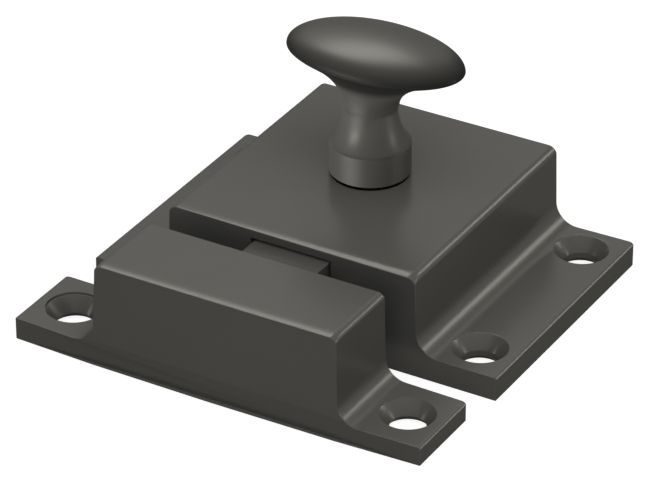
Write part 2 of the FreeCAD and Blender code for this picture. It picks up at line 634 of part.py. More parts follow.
def build_knob():
    """A turned base and flared neck, an oval head swept out from the neck, and a low dome."""
    base = new_body("knob_base")
    sketch = new_sketch(base, "knob_profile", "XZ_Plane")
    corners = [("0", "place.knob_base"), ("place.base_edge_radius", "place.knob_base"),
               ("size.knob_base_radius", "place.base_edge_top"),
               ("size.knob_base_radius", "place.crease"), ("size.neck_radius", "place.neck"),
               ("0", "place.neck")]
    points = [Vector(value(across), value(up), 0) for across, up in corners]
    for start, end in ((0, 1), (1, 2), (2, 3), (4, 5), (5, 0)):
        sketch.addGeometry(Part.LineSegment(points[start], points[end]), False)
    centre = Vector(value("place.flare_centre"), value("place.neck"), 0)
    flare = Part.Circle(centre, Z_AXIS, value("place.flare_radius"))
    fall = math.atan2(centre.y - points[3].y, centre.x - points[3].x)
    sketch.addGeometry(Part.ArcOfCircle(flare, math.pi, math.pi + fall), False)
    joins = [(0, 2, 1, 1), (1, 2, 2, 1), (2, 2, 5, 2), (5, 1, 3, 1), (3, 2, 4, 1), (4, 2, 0, 1)]
    for first, first_end, second, second_end in joins:
        sketch.addConstraint(Sketcher.Constraint("Coincident", first, first_end, second, second_end))
    for (element, corner), (across, up) in zip(((0, 1), (1, 1), (2, 1), (2, 2), (3, 1), (4, 1)),
                                               corners):
        fix_point(sketch, element, corner, across, up)
    radius = sketch.addConstraint(Sketcher.Constraint("Radius", 5, value("place.flare_radius")))
    sketch.setExpression("Constraints[%d]" % radius, "place.flare_radius")
    feature = base.newObject("PartDesign::Revolution", "knob_turning")
    feature.Profile = sketch
    feature.ReferenceAxis = (sketch, ["V_Axis"])
    feature.Angle = 360.0
    base.setExpression("Placement.Base.y", "place.axis_y")

    # The sections follow a cubic curve that leaves the neck and reaches the rim upright:
    # its weights share the spread of the section and its height between the curve's four ends.
    sections = []
    for index, share in enumerate(HEAD_SHARES):
        rest = 1.0 - share
        first = 3 * rest ** 2 * share
        second = 3 * rest * share ** 2
        last = share ** 3
        section = doc.addObject("Part::Ellipse", "head_section_%d" % index)
        spread = " * %.6f" % (second + last)
        section.setExpression("MajorRadius", "size.neck_radius"
                              " + (place.head_half_length - size.neck_radius)" + spread)
        section.setExpression("MinorRadius", "size.neck_radius"
                              " + (place.head_half_width - size.neck_radius)" + spread)
        section.setExpression("Placement.Base.y", "place.axis_y")
        section.setExpression("Placement.Base.z", "place.neck + size.neck_pull * %.6f"
                              " + (place.head_rise - size.rim_pull) * %.6f"
                              " + place.head_rise * %.6f" % (first, second, last))
        sections.append(section)
    head = doc.addObject("Part::Loft", "knob_head")
    head.Sections = sections
    head.Solid = True
    head.Ruled = False
    dome = doc.addObject("Part::Ellipsoid", "knob_dome")
    dome.setExpression("Radius1", "size.dome_height")
    dome.setExpression("Radius2", "place.head_half_length")
    dome.setExpression("Radius3", "place.head_half_width")
    dome.Angle1 = 0.0
    dome.setExpression("Placement.Base.y", "place.axis_y")
    dome.setExpression("Placement.Base.z", "place.rim")
    blank = doc.addObject("Part::MultiFuse", "knob_blank")
    blank.Shapes = [base, head, dome]
    doc.recompute()
    socket = round_tool("knob_socket", "Part::Cylinder", "0", "place.axis_y", "place.knob_base - 1",
                        {"Radius": "size.spindle_radius + size.press_gap",
                         "Height": "size.spindle_socket + 1"})
    return cut("oval_knob", blank, [socket])


def build_spindle():
    shoulder = "place.spindle_shoulder"
    spindle = turned("spindle",
                     [("0", "size.pivot_floor_gap"), ("size.pivot_radius", "size.pivot_floor_gap"),
                      ("size.pivot_radius", "place.groove_bottom"),
                      ("place.groove_radius", "place.groove_bottom"),
                      ("place.groove_radius", "place.groove_top"),
                      ("size.pivot_radius", "place.groove_top"), ("size.pivot_radius", shoulder),
                      ("size.spindle_radius", shoulder),
                      ("size.spindle_radius", "place.spindle_top"), ("0", "place.spindle_top")])
    square = rectangle(spindle, "square_outline", "XY_Plane", "-place.square_half",
                       "place.square_half", "-place.square_half", "place.square_half",
                       "place.cam_bottom")
    pad(spindle, "square", square, "place.square_length")
    return spindle


def mirrored_expression(expression):
    return "-(" + expression + ")"


def build_cam():
    """Two mirrored lobes, each the curve that pushes a flat bar evenly as the knob turns.

    At the angle t the lobe's point is (lift_radius, cam_face + lift_radius * t), turned back by t.
    """
    steps = 12
    lobe = []
    for step in range(steps + 1):
        angle = "size.cam_angle * %.6f" % (step / steps)
        reach = "(size.cam_face + size.lift_radius * %s * pi / 180)" % angle
        lobe.append(("size.lift_radius * cos(%s * 1 deg) + %s * sin(%s * 1 deg)"
                     % (angle, reach, angle),
                     "%s * cos(%s * 1 deg) - size.lift_radius * sin(%s * 1 deg)"
                     % (reach, angle, angle)))
    lobe.append(("place.cam_tip_x - size.cam_tip_land * 0.2",
                 "place.cam_tip_y - size.cam_tip_land"))
    for degrees in (-40, -52, -65, -78):
        lobe.append(("size.cam_hub_radius * cos(%d deg)" % degrees,
                     "size.cam_hub_radius * sin(%d deg)" % degrees))
    corners = lobe + [(mirrored_expression(across), up) for across, up in reversed(lobe)]
    sheet = doc.addObject("Spreadsheet::Sheet", "cam_curve")
    sheet.Label = "cam_curve"
    for index, (across, up) in enumerate(corners, start=1):
        sheet.set("A%d" % index, "=" + across)
        sheet.setAlias("A%d" % index, "across_%d" % index)
        sheet.set("B%d" % index, "=" + up)
        sheet.setAlias("B%d" % index, "up_%d" % index)
    doc.recompute()
    cells = [("cam_curve.across_%d" % index, "cam_curve.up_%d" % index)
             for index in range(1, len(corners) + 1)]
    body = new_body("cam")
    sketch = outline(body, "cam_outline", "XY_Plane", cells, "place.cam_bottom")
    pad(body, "cam_plate", sketch, "size.cam_thickness")
    hole = rectangle(body, "cam_hole_outline", "XY_Plane", "-place.cam_hole_half",
                     "place.cam_hole_half", "-place.cam_hole_half", "place.cam_hole_half",
                     "place.cam_bottom")
    pocket(body, "cam_hole", hole, "size.cam_thickness", backwards=True)
    body.setExpression("Placement.Base.y", "place.axis_y")
    doc.recompute()
    return body


def build_clip():
    """An open ring pushed sideways into the groove of the lower journal."""
    blank = ring("clip_blank", "place.clip_bore", "size.clip_radius", "place.clip_bottom",
                 "place.clip_top")
    mouth = doc.addObject("Part::Box", "clip_mouth")
    mouth.setExpression("Length", "place.clip_bore * 1.7")
    mouth.setExpression("Width", "size.clip_radius + 1")
    mouth.setExpression("Height", "size.clip_thickness + 2")
    mouth.setExpression("Placement.Base.x", "-place.clip_bore * 0.85")
    mouth.setExpression("Placement.Base.y", "place.axis_y - size.clip_radius - 1")
    mouth.setExpression("Placement.Base.z", "place.clip_bottom - 1")
    return cut("retaining_clip", blank, [mouth])


# Bolt and its spring


def build_bolt():
    """The tongue, a tail frame round the cam, and the back bar that the cam pushes."""
    body = new_body("bolt_casting")
    plan = outline(body, "bolt_outline", "XY_Plane",
                   [("-place.tongue_half", "place.nose"), ("place.tongue_half", "place.nose"),
                    ("place.tongue_half", "place.shoulder"), ("place.bolt_half", "place.shoulder"),
                    ("place.bolt_half", "place.bar_back"), ("-place.bolt_half", "place.bar_back"),
                    ("-place.bolt_half", "place.shoulder"),
                    ("-place.tongue_half", "place.shoulder")],
                   "place.bolt_bottom")
    pad(body, "bolt_blank", plan, "size.bolt_thickness")
    window = rectangle(body, "window_outline", "XY_Plane", "-place.window_half",
                       "place.window_half", "place.window_front", "place.bar_front",
                       "place.bolt_bottom")
    pocket(body, "cam_window", window, "size.bolt_thickness", backwards=True)
    side = value("place.bolt_half")
    round_edges(body, "tail_corners", "size.cavity_corner_radius",
                lambda at, edge: along_z(edge) and near(abs(at.x), side))
    bevel = outline(body, "bevel_outline", "YZ_Plane",
                    [("place.nose", "place.bolt_bottom"), ("place.bevel_end", "place.bolt_bottom"),
                     ("place.nose", "place.nose_edge")], "-place.tongue_half")
    pocket(body, "nose_bevel", bevel, "size.tongue_width", backwards=True)
    hole = round_tool("guide_hole", "Part::Cylinder", "0", "place.bar_back + 1",
                      "place.bolt_middle",
                      {"Radius": "size.guide_radius + size.press_gap",
                       "Height": "size.guide_hold + 1"},
                      Rotation(Vector(1, 0, 0), 90))
    return cut("bolt", body, [hole])


SPRING_RUNS = 14


def build_spring():
    guide = doc.addObject("Part::Cylinder", "spring_guide")
    guide.Label = "spring_guide"
    guide.Placement = Placement(Vector(0, 0, 0), Rotation(Vector(1, 0, 0), 90))
    guide.setExpression("Radius", "size.guide_radius")
    guide.setExpression("Height", "place.guide_end - place.bar_back + size.guide_hold")
    guide.setExpression("Placement.Base.y", "place.guide_end")
    guide.setExpression("Placement.Base.z", "place.bolt_middle")
    path = doc.addObject("Part::Feature", "spring_path")
    runs = int(value("size.spring_turns") * SPRING_RUNS)
    points = []
    for run in range(runs + 1):
        turn = 2 * math.pi * run / SPRING_RUNS
        points.append(Vector(value("size.spring_radius") * math.cos(turn),
                             value("size.spring_radius") * math.sin(turn),
                             value("place.spring_height") * run / runs))
    path.Shape = Part.makePolygon(points)
    wire = doc.addObject("Part::RegularPolygon", "spring_wire_section")
    wire.Polygon = 6
    wire.Placement = Placement(points[0], Rotation(Z_AXIS, points[1] - points[0]))
    wire.setExpression("Circumradius", "size.spring_wire / 2")
    coil = doc.addObject("Part::Sweep", "bolt_spring")
    coil.Label = "bolt_spring"
    coil.Sections = [wire]
    doc.recompute()
    coil.Spine = (path, ["Edge%d" % run for run in range(1, runs + 1)])
    coil.Solid = True
    coil.Frenet = False
    coil.Transition = "Right corner"
    coil.Placement = Placement(Vector(0, 0, 0), Rotation(Vector(1, 0, 0), -90))
    coil.setExpression("Placement.Base.y", "place.bar_back + size.spring_wire / 2 + size.press_gap")
    coil.setExpression("Placement.Base.z", "place.bolt_middle")
    doc.recompute()
    return [guide, coil]


# All the pieces, each checked and written to its own file


pieces = [build_case(), build_strike(), build_cover()]
pieces += build_cover_screws()
pieces += build_bushes_and_washers()
pieces += [build_knob(), build_spindle(), build_cam(), build_clip(), build_bolt()]
pieces += build_spring()
doc.recompute()

for item in doc.Objects:
    if "Invalid" in item.State or "Error" in item.State:
        raise RuntimeError(item.Name + " is not built")
os.makedirs("parts", exist_ok=True)
for piece in pieces:
    shape = piece.Shape
    if shape.isNull() or not shape.isValid() or len(shape.Solids) != 1:
        raise RuntimeError(piece.Label + " is not one valid solid")
    shape.exportStep("parts/%s.step" % piece.Label)
    box = shape.BoundBox
    print("%-16s x %.2f %.2f  y %.2f %.2f  z %.2f %.2f" %
          (piece.Label, box.XMin, box.XMax, box.YMin, box.YMax, box.ZMin, box.ZMax))
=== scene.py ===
import json
import math

import bmesh
import bpy
import numpy as np
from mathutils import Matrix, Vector

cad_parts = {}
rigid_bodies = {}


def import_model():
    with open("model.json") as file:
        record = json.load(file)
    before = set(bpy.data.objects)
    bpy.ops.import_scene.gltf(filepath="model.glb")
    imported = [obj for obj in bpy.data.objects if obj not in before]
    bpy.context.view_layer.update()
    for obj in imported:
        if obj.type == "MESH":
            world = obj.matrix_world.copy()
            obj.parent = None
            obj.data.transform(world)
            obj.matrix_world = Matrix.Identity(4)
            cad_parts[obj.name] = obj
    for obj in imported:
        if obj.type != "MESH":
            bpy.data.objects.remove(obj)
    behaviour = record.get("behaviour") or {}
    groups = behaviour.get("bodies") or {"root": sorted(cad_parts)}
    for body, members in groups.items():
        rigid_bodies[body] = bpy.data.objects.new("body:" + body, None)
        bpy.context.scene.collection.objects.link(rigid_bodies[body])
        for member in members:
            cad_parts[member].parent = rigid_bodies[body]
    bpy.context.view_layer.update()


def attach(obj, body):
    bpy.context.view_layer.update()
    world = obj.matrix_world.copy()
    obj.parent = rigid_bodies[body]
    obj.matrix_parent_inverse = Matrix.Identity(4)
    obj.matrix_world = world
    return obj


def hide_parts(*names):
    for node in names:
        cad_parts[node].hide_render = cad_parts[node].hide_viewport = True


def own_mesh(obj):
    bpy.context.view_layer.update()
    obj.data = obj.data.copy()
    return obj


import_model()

# Cabinet lock: cast case and strike with countersunk flanges, an oval turn knob and a spring bolt.
# All sizes below are in millimetres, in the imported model's own frame: +Z away from the door,
# the strike towards -Y. Meshes are turned into metres when they are made.

mm = 0.001
studio = bpy.context.scene

# Camera, at the photograph's viewing angle; "back" points from the aim to the camera

cameraView = {
    "aim": (-4.485, -2.61, 4.325),
    "back": (0.43115, -0.74503, 0.50893),
    "distance": 548.9,
    "lens": 240.23,
    "sensor": 36.0,
    "clip": (20.0, 20000.0),
}


def placeCamera(settings):
    # The camera stands at the aim plus the distance times the unit vector back
    data = bpy.data.cameras.new("photoCamera")
    data.sensor_fit = "HORIZONTAL"
    data.sensor_width = settings["sensor"]
    data.lens = settings["lens"]
    data.clip_start, data.clip_end = (length * mm for length in settings["clip"])
    back = Vector(settings["back"]).normalized()
    camera = bpy.data.objects.new("photoCamera", data)
    camera.location = (Vector(settings["aim"]) + back * settings["distance"]) * mm
    camera.rotation_euler = (-back).to_track_quat("-Z", "Y").to_euler()
    studio.collection.objects.link(camera)
    studio.camera = camera


placeCamera(cameraView)
print("camera placed")

# Mesh helpers: every surface is whole numpy arrays, with no loop over vertices


def newPiece(name, points, faces, smooth=True):
    # A mesh object at the origin, from points in millimetres, its faces turned outwards
    mesh = bpy.data.meshes.new(name)
    mesh.from_pydata((np.asarray(points, float) * mm).tolist(), [], faces)
    work = bmesh.new()
    work.from_mesh(mesh)
    bmesh.ops.recalc_face_normals(work, faces=work.faces)
    work.to_mesh(mesh)
    work.free()
    mesh.polygons.foreach_set("use_smooth", np.full(len(mesh.polygons), smooth))
    piece = bpy.data.objects.new(name, mesh)
    studio.collection.objects.link(piece)
    return piece


def skin(rings):
    # Quads between neighbouring closed rings, and a flat face over each end
    count, around = rings.shape[:2]
    index = np.arange(count * around).reshape(count, around)
    after = np.roll(index, -1, axis=1)
    quads = np.stack([index[:-1], after[:-1], after[1:], index[1:]], axis=-1)
    faces = quads.reshape(-1, 4).tolist() + [index[0, ::-1].tolist(), index[-1].tolist()]
    return rings.reshape(-1, 3), faces


def rectangle(left, right, low, high):
    # The four corners of a plain rectangle, in order round it
    return [(left, low), (right, low), (right, high), (left, high)]


def arc(centre, radius, start, end, steps):
    # The centre plus the radius times cosine and sine of an angle that runs between two in degrees
    angle = np.radians(np.linspace(start, end, steps + 1))
    return np.stack([centre[0] + radius * np.cos(angle),
                     centre[1] + radius * np.sin(angle)], axis=1)


def roundedBox(halfX, lowY, highY, radius, steps=5):
    # A rectangle in plan whose corners are quarter circles
    corners = [((halfX - radius, highY - radius), 0), ((radius - halfX, highY - radius), 90),
               ((radius - halfX, lowY + radius), 180), ((halfX - radius, lowY + radius), 270)]
    return np.concatenate([arc(centre, radius, turn, turn + 90, steps) for centre, turn in corners])


def prism(name, outline, low, high, axis):
    # An outline carried along one axis; along "y" the outline is x and z, along "z" it is x and y
    flat = np.asarray(outline, float)
    levels = np.array([low, high])[:, None]
    across = np.repeat(flat[None, :, 0], 2, axis=0)
    other = np.repeat(flat[None, :, 1], 2, axis=0)
    along = np.repeat(levels, len(flat), axis=1)
    order = [across, other, along] if axis == "z" else [across, along, other]
    return newPiece(name, *skin(np.stack(order, axis=-1)), smooth=False)


def spun(name, profile, centre, sides=72, axis="z"):
    # A turned shape: each radius times cosine and sine of the angle, round an upright or level axis
    profile = np.asarray(profile, float)
    angle = np.linspace(0, 2 * math.pi, sides, endpoint=False)
    one = profile[:, :1] * np.cos(angle)
    two = profile[:, :1] * np.sin(angle)
    along = np.repeat(profile[:, 1:], sides, axis=1)
    if axis == "z":
        rings = np.stack([centre[0] + one, centre[1] + two, centre[2] + along], axis=-1)
    else:
        rings = np.stack([centre[0] + one, centre[1] + along, centre[2] + two], axis=-1)
    return newPiece(name, *skin(rings), smooth=False)


def carve(piece, cutters):
    # The piece with every cutter taken out of it, and the cutters removed
    for cutter in cutters:
        step = piece.modifiers.new("cut", "BOOLEAN")
        step.operation = "DIFFERENCE"
        step.solver = "EXACT"
        step.object = cutter
    graph = bpy.context.evaluated_depsgraph_get()
    finished = bpy.data.meshes.new_from_object(piece.evaluated_get(graph))
    finished.name = piece.name
    piece.modifiers.clear()
    piece.data = finished
    for cutter in cutters:
        bpy.data.objects.remove(cutter)


def finishEdges(piece, sharpAngle=32.0):
    # Smooth shading that stops at real corners and stays flat on large faces
    mesh = piece.data
    mesh.polygons.foreach_set("use_smooth", np.full(len(mesh.polygons), True))
    mesh.set_sharp_from_angle(angle=math.radians(sharpAngle))
    weighted = piece.modifiers.new("flatFaces", "WEIGHTED_NORMAL")
    weighted.keep_sharp = True
    weighted.weight = 100


# Materials: "metal" is the share of the base colour that mirrors, the rest of it is plain paint;
# "edge" tints the grazing reflections, and the shade entry is painted shade, a tone along one axis

bronze = (0.075, 0.0734, 0.0675)

finishes = {
    "bronzeFinish": {"base": bronze, "metal": 0.22, "roughness": 0.25, "edge": 0.5},
    "knobFinish": {
        "base": bronze, "metal": 0.4, "roughness": 0.36, "edge": 0.45,
        # painted shade: the head's underside and rim darker, the neck and the top of the dome at
        # full tone
        "paintedShade": {"along": "Z", "low": 26.5, "high": 33.0,
                  "tones": ((0.0, 1.0), (0.3, 0.3), (0.64, 0.23), (1.0, 1.0))},
    },
    "boltFinish": {
        "base": bronze, "metal": 0.22, "roughness": 0.27, "edge": 0.5,
        # painted shade: the tongue darker towards the strike, whose back edge shades it
        "paintedShade": {"along": "Y", "low": -25.0, "high": -18.8,
                  "tones": ((0.0, 0.4), (0.25, 0.45), (0.7, 0.85), (1.0, 0.8))},
    },
    "blackFibre": {"base": (0.003, 0.003, 0.003), "metal": 0.0, "roughness": 0.7, "edge": 0.5},
    "darkSteel": {"base": (0.075, 0.075, 0.078), "metal": 1.0, "roughness": 0.42, "edge": 0.6},
    "plainBrass": {"base": (0.62, 0.44, 0.17), "metal": 1.0, "roughness": 0.3, "edge": 1.0},
    "brightSteel": {"base": (0.45, 0.45, 0.46), "metal": 1.0, "roughness": 0.3, "edge": 1.0},
    "springSteel": {"base": (0.32, 0.32, 0.33), "metal": 1.0, "roughness": 0.26, "edge": 1.0},
}

satinSurface = {
    "cloudScale": 90.0, "cloudDetail": 3.0, "cloudTone": 0.04, "cloudGloss": 0.02,
    "grainScale": 4200.0, "grainDetail": 2.0, "grainStrength": 0.05, "grainDepth": 0.02,
}


def greyOf(tone):
    # One tone in all three colours
    return (tone, tone, tone, 1.0)


def noiseOver(place, nodes, links, scale, detail):
    # Noise that follows the piece's own coordinates
    noise = nodes.new("ShaderNodeTexNoise")
    noise.inputs["Scale"].default_value = scale
    noise.inputs["Detail"].default_value = detail
    links.new(place, noise.inputs["Vector"])
    return noise.outputs["Fac"]


def colourMix(nodes, blend="MIX"):
    # A colour mix; returns its factor, its two colours and its result
    mix = nodes.new("ShaderNodeMix")
    mix.data_type = "RGBA"
    mix.blend_type = blend
    return mix.inputs[0], mix.inputs[6], mix.inputs[7], mix.outputs[2]


def paintedShadeAlong(place, nodes, links, colour, settings):
    # The colour times a tone that follows one axis: painted shade under the knob's head and on the
    # bolt's nose near the strike
    axes = nodes.new("ShaderNodeSeparateXYZ")
    links.new(place, axes.inputs[0])
    level = nodes.new("ShaderNodeMapRange")
    level.inputs["From Min"].default_value = settings["low"] * mm
    level.inputs["From Max"].default_value = settings["high"] * mm
    links.new(axes.outputs[settings["along"]], level.inputs["Value"])
    ramp = nodes.new("ShaderNodeValToRGB")
    ramp.color_ramp.interpolation = "EASE"
    points = ramp.color_ramp.elements
    while len(points) < len(settings["tones"]):
        points.new(0.5)
    for point, (at, tone) in zip(points, settings["tones"]):
        point.position = at
        point.color = greyOf(tone)
    links.new(level.outputs["Result"], ramp.inputs["Fac"])
    factor, first, second, product = colourMix(nodes, "MULTIPLY")
    factor.default_value = 1.0
    links.new(colour, first)
    links.new(ramp.outputs["Color"], second)
    return product


def satinFinish(name, settings, surface):
    # A faint cloud in the colour and the gloss, and a very fine grain in the relief
    material = bpy.data.materials.new(name)
    material.use_nodes = True
    nodes = material.node_tree.nodes
    links = material.node_tree.links
    shader = nodes["Principled BSDF"]
    shader.inputs["Metallic"].default_value = settings["metal"]
    shader.inputs["Specular Tint"].default_value = greyOf(settings["edge"])
    shader.inputs["Specular IOR Level"].default_value = 0.0
    place = nodes.new("ShaderNodeTexCoord").outputs["Object"]

    cloud = noiseOver(place, nodes, links, surface["cloudScale"], surface["cloudDetail"])
    factor, dark, light, colour = colourMix(nodes)
    dark.default_value = [(1 - surface["cloudTone"]) * value for value in settings["base"]] + [1.0]
    light.default_value = [(1 + surface["cloudTone"]) * value for value in settings["base"]] + [1.0]
    links.new(cloud, factor)
    # painted shade: a darker tone along one axis, where the finish has one
    if "paintedShade" in settings:
        colour = paintedShadeAlong(place, nodes, links, colour, settings["paintedShade"])
    links.new(colour, shader.inputs["Base Color"])

    gloss = nodes.new("ShaderNodeMapRange")
    gloss.inputs["To Min"].default_value = settings["roughness"] - surface["cloudGloss"]
    gloss.inputs["To Max"].default_value = settings["roughness"] + surface["cloudGloss"]
    links.new(cloud, gloss.inputs["Value"])
    links.new(gloss.outputs["Result"], shader.inputs["Roughness"])

    grain = noiseOver(place, nodes, links, surface["grainScale"], surface["grainDetail"])
    relief = nodes.new("ShaderNodeBump")
    relief.inputs["Strength"].default_value = surface["grainStrength"]
    relief.inputs["Distance"].default_value = surface["grainDepth"] * mm
    links.new(grain, relief.inputs["Height"])
    links.new(relief.outputs["Normal"], shader.inputs["Normal"])
    return material


finishOf = {name: satinFinish(name, settings, satinSurface) for name, settings in finishes.items()}
print("materials made")


def dress(piece, finish, slotName, bodyName, *nodeNames):
    # Gives a new piece its finish and its body, and hides the nodes it stands for; its slot name is
    # not used
    piece.data.materials.clear()
    piece.data.materials.append(finishOf[finish])
    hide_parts(*nodeNames)
    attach(piece, bodyName)


# Castings: a hat-shaped section carried along Y, with small rounds where it meets its ends.
# Half sizes and the "Right" and "Left" values are seen from the front; holes are x from the
# casting's centre, and y.

latchCase = {
    "footHalf": 28.575, "topHalf": 17.4, "height": 14.1, "flange": 3.25, "draft": 1.65, "root": 3.0,
    "shoulderAcross": 1.1, "shoulderDown": 0.95, "shoulderFlat": 1.15,
    "footBend": 0.5, "bendAngleRight": 50.0, "bendAngleLeft": 40.0, "footBottomRound": 0.1,
    "front": -18.825, "back": 18.175, "centreX": 0.0, "endRound": 0.06, "planCorner": 0.35,
    "lipDepth": 1.9, "lipSlope": 0.36, "lipPower": 2.3, "lipGrowth": 0.9,
    "lipLow": 2.0, "lipFade": 1.5,
    "bow": 0.0, "bowPower": 2.5, "bowDepth": 2.0,
    "blockShift": 0.0, "footRise": 0.0, "footTilt": 0.0, "rightReach": 0.18, "rightSplay": 0.25,
    "holes": ((23.7, -13.525), (23.7, 13.525), (-23.7, -13.525), (-23.45, 13.525)),
    "throat": 2.25, "throatFoot": 2.8, "throatFlare": 0.7,
    "sinkRadius": 3.51, "sinkAngle": 69.0, "sinkClear": 1.5, "sinkRim": 0.12,
}

strikePlate = dict(
    latchCase, topHalf=16.9, height=14.25, flange=2.65, shoulderAcross=0.95, shoulderDown=0.7,
    bendAngleLeft=10.0, front=-35.825, back=-24.125, centreX=-0.87, lipGrowth=0.0, bow=0.62,
    blockShift=0.2, footRise=0.12, footTilt=0.22, rightReach=0.0, rightSplay=-0.1,
    holes=((23.7, -30.025), (-23.7, -30.025)))

cutPast = 1.0  # how far a cutter reaches past the face that it opens


def halfSection(s, bendAngle):
    # The right half, up from the underside: foot edge, flange, root arc, leaning wall, shoulder and
    # top. The shoulder is cosine and sine of the angle to one power, times its width and height.
    lean = math.radians(s["draft"])
    wall = s["flange"] + s["root"] - s["height"]
    rootX = s["topHalf"] + (s["root"] - wall * math.sin(lean)) / math.cos(lean)
    shoulderX = s["topHalf"] + s["shoulderDown"] * math.tan(lean) - s["shoulderAcross"]
    low = s["footBottomRound"]
    bend = s["footBend"] / math.sin(math.radians(bendAngle))
    quarter = np.abs(arc((0.0, 0.0), 1.0, 0, 90, 12)) ** s["shoulderFlat"]
    shoulder = quarter * (s["shoulderAcross"], s["shoulderDown"])
    return np.concatenate([
        [(0.0, 0.0), (s["footHalf"] * 0.6, 0.0)],
        arc((s["footHalf"] - low, low), low, -90, 0, 3),
        arc((s["footHalf"] - s["footBend"], s["flange"] - bend), bend, 90 - bendAngle, 90, 8),
        arc((rootX, s["flange"] + s["root"]), s["root"], -90, s["draft"] - 180, 18),
        shoulder + (shoulderX, s["height"] - s["shoulderDown"]),
        [(0.0, s["height"])],
    ])


def outwardOf(section):
    # At each corner of a closed outline, the sum of its two edges' directions, turned outwards
    onward = np.roll(section, -1, axis=0) - section
    arriving = section - np.roll(section, 1, axis=0)
    onward /= np.linalg.norm(onward, axis=1, keepdims=True)
    arriving /= np.linalg.norm(arriving, axis=1, keepdims=True)
    normal = np.stack([onward[:, 1] + arriving[:, 1], -(onward[:, 0] + arriving[:, 0])], axis=1)
    return normal / np.linalg.norm(normal, axis=1, keepdims=True)


def placesAlong(s):
    # Steps along Y, the same from both ends: fine over the end round and the lip, wide after them
    edge = s["endRound"] * (1 - np.cos(np.linspace(0, math.pi / 2, 4)))
    lip = np.linspace(s["endRound"], s["lipDepth"], 13)[1:]
    middle = np.linspace(s["lipDepth"], (s["back"] - s["front"]) / 2, 5)[1:]
    toMiddle = np.concatenate([edge, lip, middle])
    return np.concatenate([s["front"] + toMiddle, s["back"] - toMiddle[-2::-1]])[:, None]


def endInset(radius, distance):
    # How far a round edge stands back at a distance from its end: the radius less a circle's height
    short = np.maximum(radius - distance, 0.0)
    return radius - np.sqrt(np.maximum(radius ** 2 - short ** 2, 0.0))


def castShell(name, s):
    # The section carried along Y, and then bent a little in five steps
    left = halfSection(s, s["bendAngleLeft"])[-2:0:-1] * (-1, 1)
    section = np.concatenate([halfSection(s, s["bendAngleRight"]), left])
    outward = outwardOf(section)
    across = section[None, :, 0]
    level = section[None, :, 1]
    along = placesAlong(s)
    fromFront = along - s["front"]
    fromBack = s["back"] - along

    # tiny rounds at both ends
    inset = endInset(s["endRound"], np.minimum(fromFront, fromBack))
    x = across - outward[None, :, 0] * inset
    z = level - outward[None, :, 1] * inset

    # a lip along the top's front edge, which drops with a power of the nearness to the front
    near = np.clip(1 - fromFront / s["lipDepth"], 0.0, 1.0)
    crown = np.clip((level - s["height"] + s["lipLow"]) / s["lipFade"], 0.0, 1.0)
    growth = 1 + s["lipGrowth"] * across / s["topHalf"]
    power = s["lipPower"] + 1
    z = z - crown * growth * s["lipSlope"] * s["lipDepth"] / power * near ** power

    # rounded corners in plan at the back of the feet
    atFoot = np.abs(across) > s["footHalf"] - s["footBend"] - 0.01
    x = x - np.sign(x) * endInset(s["planCorner"], fromBack) * atFoot

    # a front face that swells forward towards its foot, most in the middle
    swell = 1 - np.minimum(np.abs(across) / s["footHalf"], 1.0) ** s["bowPower"]
    fade = np.clip(1 - fromFront / s["bowDepth"], 0.0, 1.0)
    y = along - s["bow"] * swell * (1 - level / s["height"]) * fade

    # the casting's unevenness: a foot a little higher at one end, a block a little off its centre,
    # and a right foot that reaches out with the fourth power of x
    share = across / s["footHalf"]
    onBlock = np.clip((level - s["flange"]) / s["root"], 0.0, 1.0)
    onFoot = np.clip(level / s["flange"], 0.0, 1.0) * (1 - onBlock)
    onRight = np.clip(share, 0.0, 1.0) ** 4
    z = z + (s["footRise"] - s["footTilt"] * share) * onFoot
    x = x + s["blockShift"] * onBlock + s["rightReach"] * onRight
    y = y + s["rightSplay"] * onRight * fromFront / (s["back"] - s["front"])
    return newPiece(name, *skin(np.stack([x + s["centreX"], y, z], axis=-1)))


def countersink(x, y, s):
    # Throat, cone and a little flare at the rim, then straight up to clear the root round
    top = s["flange"]
    rim = s["sinkRim"]
    slope = math.tan(math.radians(s["sinkAngle"] / 2))
    depth = (s["sinkRadius"] - s["throat"]) / slope
    profile = [
        (s["throatFoot"], -cutPast), (s["throatFoot"], 0.0), (s["throat"], s["throatFlare"]),
        (s["throat"], top - depth),
        (s["sinkRadius"] - rim * 0.5, top - rim * 0.5 / slope),
        (s["sinkRadius"] + rim * 0.35, top - rim * 0.12),
        (s["sinkRadius"] + rim * 0.9, top + 0.01),
        (s["sinkRadius"] + rim * 0.9, top + s["sinkClear"]),
    ]
    return spun("hole", profile, (x, y, 0.0), sides=96)


def flangeHoles(s):
    # A countersink cutter at each screw hole
    return [countersink(s["centreX"] + x, y, s) for x, y in s["holes"]]


caseInside = {
    "cavityHalf": 14.0, "cavityTop": 12.65, "cavityFront": -16.625, "cavityBack": 15.775,
    "cavityCorner": 1.5, "recessHalf": 18.15, "recessBack": 16.775, "recessDepth": 1.2,
    "reliefHalf": 13.9, "reliefTopHalf": 12.0, "reliefHeight": 1.2, "reliefSlope": 1.583,
    "slotHalf": 5.7, "slotFloor": 6.13, "slotTop": 12.85,
    "bushRadius": 3.02, "axisY": 0.975,
    "screwHoleX": 15.8, "screwHoleY": (-12.875, 13.025), "screwHole": 1.02, "screwHoleDepth": 5.6,
    "seatRadius": 2.825, "seatY": 16.375, "seatZ": 9.48, "seatDepth": 1.6,
}


